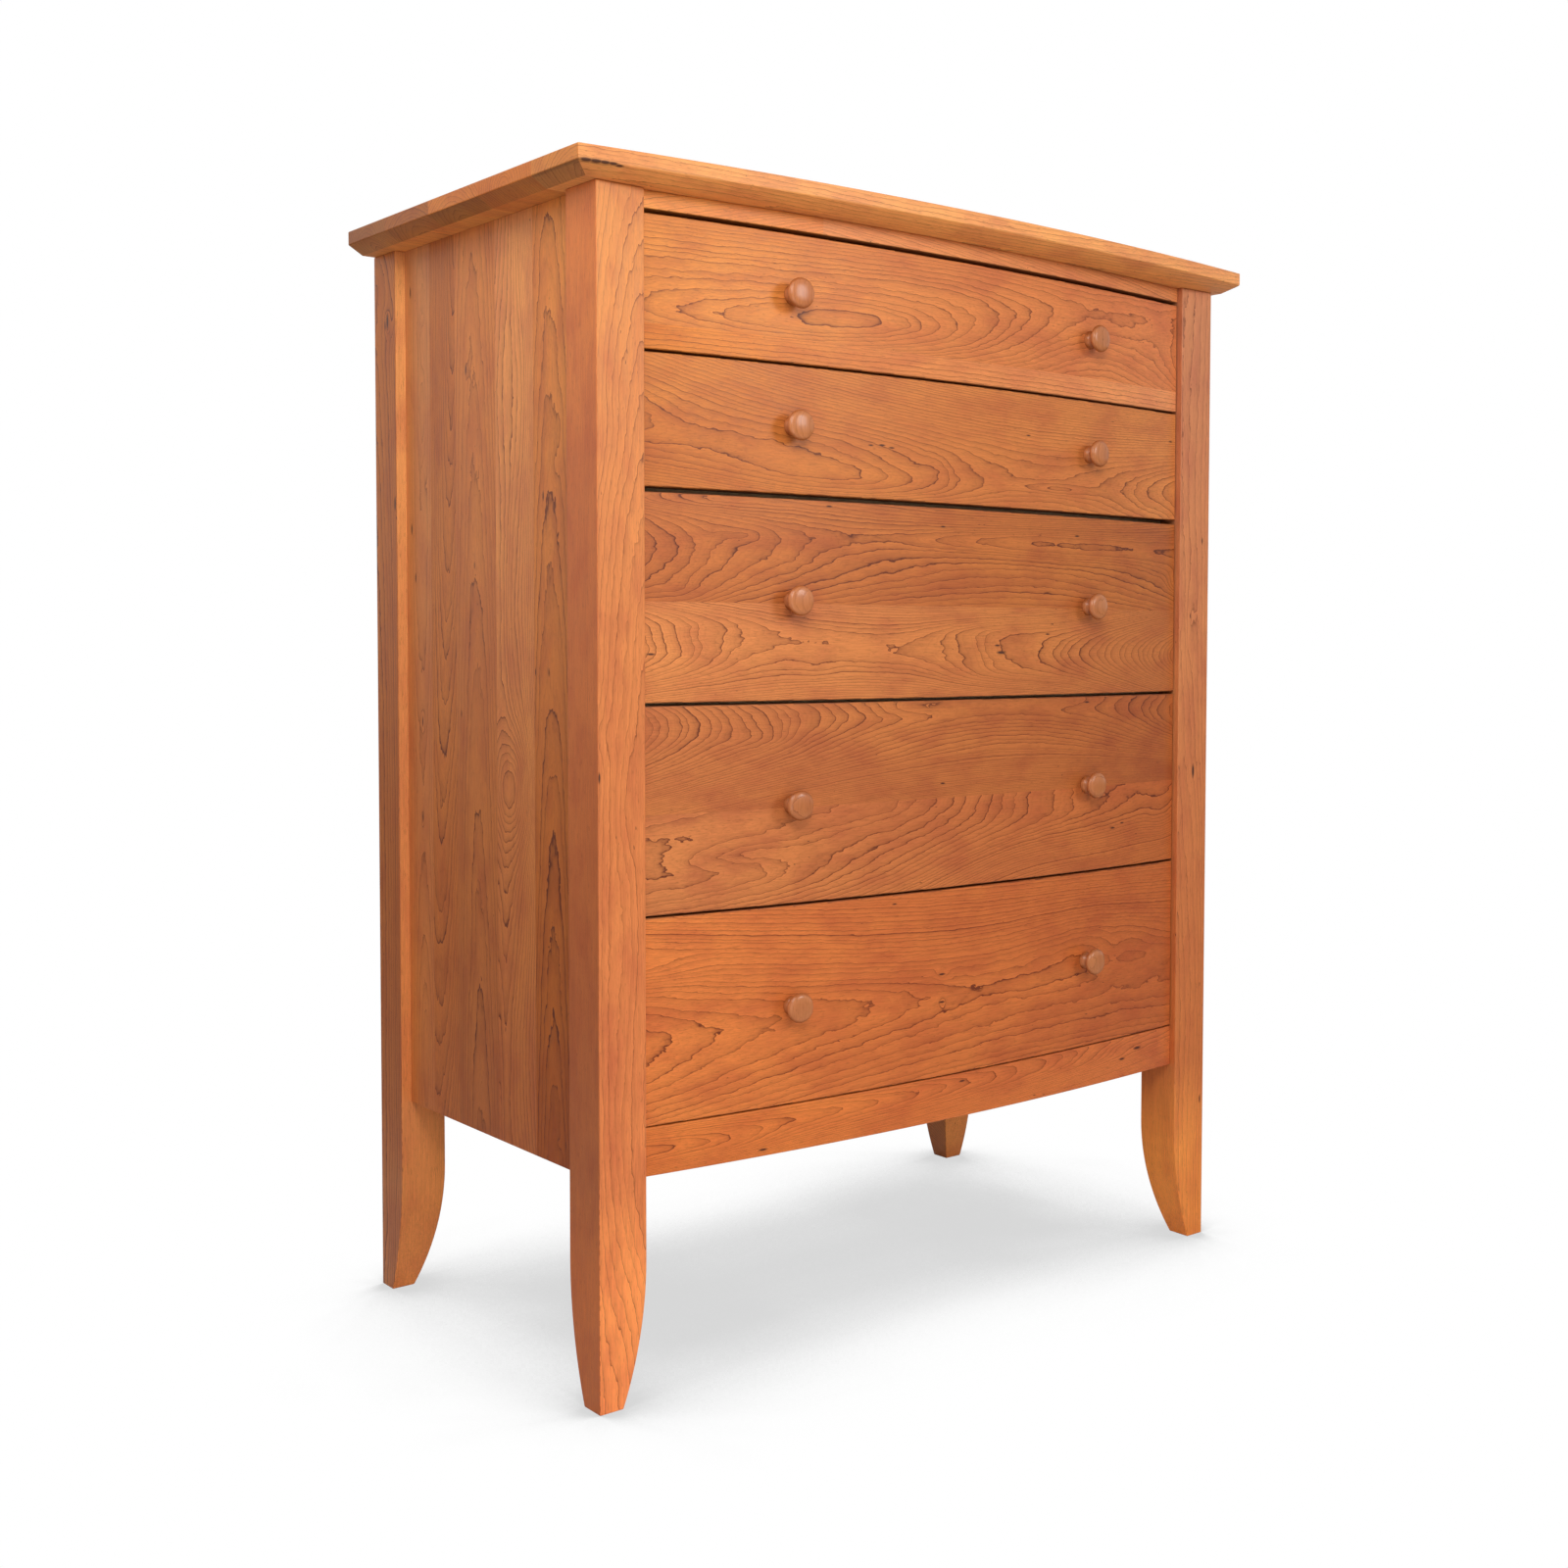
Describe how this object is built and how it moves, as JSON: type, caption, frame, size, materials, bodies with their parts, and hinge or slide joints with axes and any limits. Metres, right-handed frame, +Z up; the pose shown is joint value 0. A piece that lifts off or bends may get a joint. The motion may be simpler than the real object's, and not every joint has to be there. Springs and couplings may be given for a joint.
{
  "type": "bow front chest of drawers",
  "caption": "Free-standing wooden chest with a bowed front: full-width drawers with turned knobs between corner posts with curved legs, under a bevelled overhanging top.",
  "frame": {"origin": "on the floor, at the middle of the chest's outline in plan", "axes": "+Z up, +X to the right of someone who faces the drawers, drawer fronts face -Y"},
  "size_m": [0.951, 0.542, 1.219],
  "materials": {
    "cherry_top": "natural oil, satin",
    "cherry_frame": "natural oil, satin",
    "cherry_side_panel": "natural oil, satin",
    "cherry_back": "natural oil, satin",
    "cherry_drawer_front": "natural oil, satin",
    "cherry_knob": "natural oil, satin",
    "maple_frame": "bare, planed",
    "maple_drawer_box": "clear lacquer, satin",
    "steel_screw": "zinc plated"
  },
  "bodies": {
    "case": {"post_front_left": "cherry_frame", "post_front_right": "cherry_frame", "post_rear_left": "cherry_frame", "post_rear_right": "cherry_frame", "side_panel_left": "cherry_side_panel", "side_panel_right": "cherry_side_panel", "top_rail": "cherry_frame", "divider_1": "maple_frame", "divider_2": "maple_frame", "divider_3": "maple_frame", "divider_4": "maple_frame", "divider_5": "maple_frame", "apron": "cherry_frame", "back_top_rail": "cherry_back", "back_bottom_rail": "cherry_back", "back_panel": "cherry_back", "drawer_runners": "maple_frame", "top_screws": "steel_screw", "kickers": "maple_frame", "top_panel": "cherry_top"},
    "drawer_1": {"drawer_1_front": "cherry_drawer_front", "drawer_1_side_left": "maple_drawer_box", "drawer_1_side_right": "maple_drawer_box", "drawer_1_back": "maple_drawer_box", "drawer_1_bottom": "maple_drawer_box", "drawer_1_knob_left": "cherry_knob", "drawer_1_knob_right": "cherry_knob", "drawer_1_knob_screws": "steel_screw"},
    "drawer_2": {"drawer_2_front": "cherry_drawer_front", "drawer_2_side_left": "maple_drawer_box", "drawer_2_side_right": "maple_drawer_box", "drawer_2_back": "maple_drawer_box", "drawer_2_bottom": "maple_drawer_box", "drawer_2_knob_left": "cherry_knob", "drawer_2_knob_right": "cherry_knob", "drawer_2_knob_screws": "steel_screw"},
    "drawer_3": {"drawer_3_front": "cherry_drawer_front", "drawer_3_side_left": "maple_drawer_box", "drawer_3_side_right": "maple_drawer_box", "drawer_3_back": "maple_drawer_box", "drawer_3_bottom": "maple_drawer_box", "drawer_3_knob_left": "cherry_knob", "drawer_3_knob_right": "cherry_knob", "drawer_3_knob_screws": "steel_screw"},
    "drawer_4": {"drawer_4_front": "cherry_drawer_front", "drawer_4_side_left": "maple_drawer_box", "drawer_4_side_right": "maple_drawer_box", "drawer_4_back": "maple_drawer_box", "drawer_4_bottom": "maple_drawer_box", "drawer_4_knob_left": "cherry_knob", "drawer_4_knob_right": "cherry_knob", "drawer_4_knob_screws": "steel_screw"},
    "drawer_5": {"drawer_5_front": "cherry_drawer_front", "drawer_5_side_left": "maple_drawer_box", "drawer_5_side_right": "maple_drawer_box", "drawer_5_back": "maple_drawer_box", "drawer_5_bottom": "maple_drawer_box", "drawer_5_knob_left": "cherry_knob", "drawer_5_knob_right": "cherry_knob", "drawer_5_knob_screws": "steel_screw"}
  },
  "joints": [
    {"name": "drawer_1_slide", "type": "slide", "parent": "case", "child": "drawer_1", "axis": [0, -1, 0], "range_m": [0, 0.34]},
    {"name": "drawer_2_slide", "type": "slide", "parent": "case", "child": "drawer_2", "axis": [0, -1, 0], "range_m": [0, 0.34]},
    {"name": "drawer_3_slide", "type": "slide", "parent": "case", "child": "drawer_3", "axis": [0, -1, 0], "range_m": [0, 0.34]},
    {"name": "drawer_4_slide", "type": "slide", "parent": "case", "child": "drawer_4", "axis": [0, -1, 0], "range_m": [0, 0.34]},
    {"name": "drawer_5_slide", "type": "slide", "parent": "case", "child": "drawer_5", "axis": [0, -1, 0], "range_m": [0, 0.34]}
  ]
}
